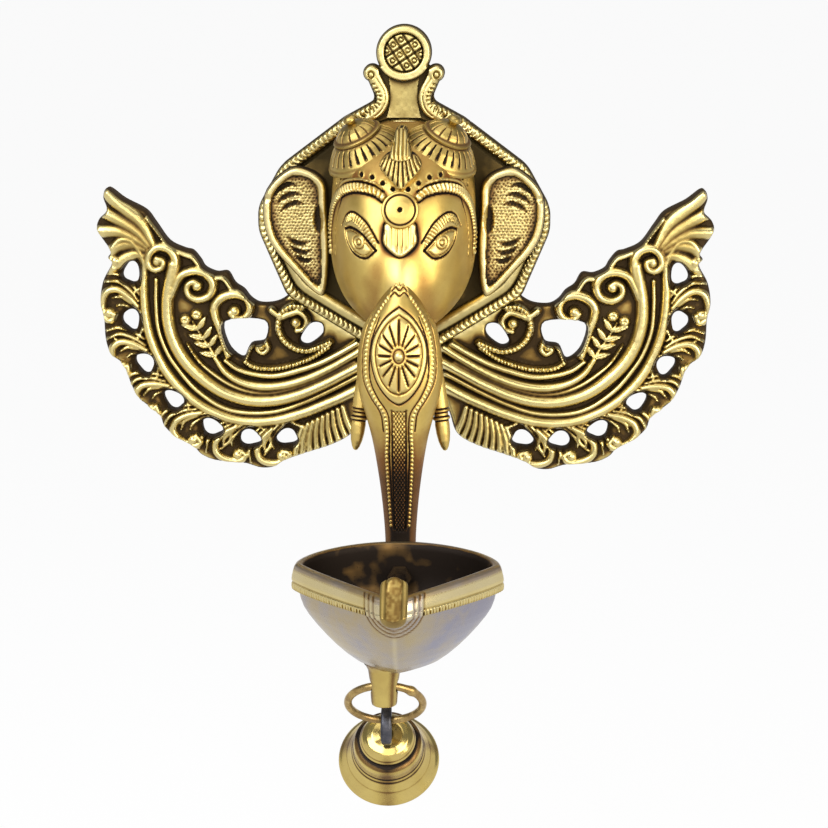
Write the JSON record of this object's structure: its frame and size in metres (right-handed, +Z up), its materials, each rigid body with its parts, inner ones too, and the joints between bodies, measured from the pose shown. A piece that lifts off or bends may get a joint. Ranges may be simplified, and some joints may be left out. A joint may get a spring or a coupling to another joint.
{
  "type": "hanging oil lamp",
  "caption": "Wall-hung cast brass oil lamp: an elephant-headed mask between pierced scroll wings carries an oil bowl on its trunk, with a bell on a ring below.",
  "frame": {"origin": "rear end of the hanging hole, on the wall plane", "axes": "+Z up, +Y into the wall, so the front of the lamp faces -Y, and +X to the right as seen from the front"},
  "size_m": [0.2216, 0.125, 0.2715],
  "materials": {
    "brass": "polished high spots, dark recesses",
    "dark_brass": "darkened and rubbed",
    "iron": "dark forged"
  },
  "bodies": {
    "lamp": {"plate": "dark_brass", "strap": "iron", "strap_rivet_1": "brass", "strap_rivet_2": "brass", "wing_left": "brass", "wing_right": "brass", "wing_rivet_1": "brass", "wing_rivet_2": "brass", "wing_rivet_3": "brass", "wing_rivet_4": "brass", "mask": "brass", "mask_screw_1": "iron", "mask_screw_2": "iron", "jewel": "brass", "ear_left": "brass", "ear_right": "brass", "ear_rivet_left": "iron", "ear_rivet_right": "iron", "tusk_left": "brass", "tusk_right": "brass", "bowl": "dark_brass", "bowl_screw": "iron", "bowl_nut": "brass"},
    "ring": {"ring": "dark_brass"},
    "loop": {"bell_loop": "iron"},
    "bell": {"bell": "brass"},
    "clapper": {"clapper": "iron"}
  },
  "joints": [
    {"name": "ring_swing", "type": "hinge", "parent": "lamp", "child": "ring", "pos_m": [-0.0045, -0.085, -0.2095], "axis": [1, 0, 0], "range_deg": [-100, 15]},
    {"name": "bell_swing", "type": "hinge", "parent": "ring", "child": "loop", "pos_m": [-0.0045, -0.06722, -0.22792], "axis": [1, 0, 0], "range_deg": [-45, 45]},
    {"name": "bell_spin", "type": "hinge", "parent": "loop", "child": "bell", "pos_m": [-0.0045, -0.06722, -0.22792], "axis": [0, 0.7071, -0.7071], "continuous": true},
    {"name": "clapper_swing", "type": "hinge", "parent": "loop", "child": "clapper", "pos_m": [-0.0045, -0.05523, -0.2399], "axis": [1, 0, 0], "range_deg": [-44, 44]}
  ]
}
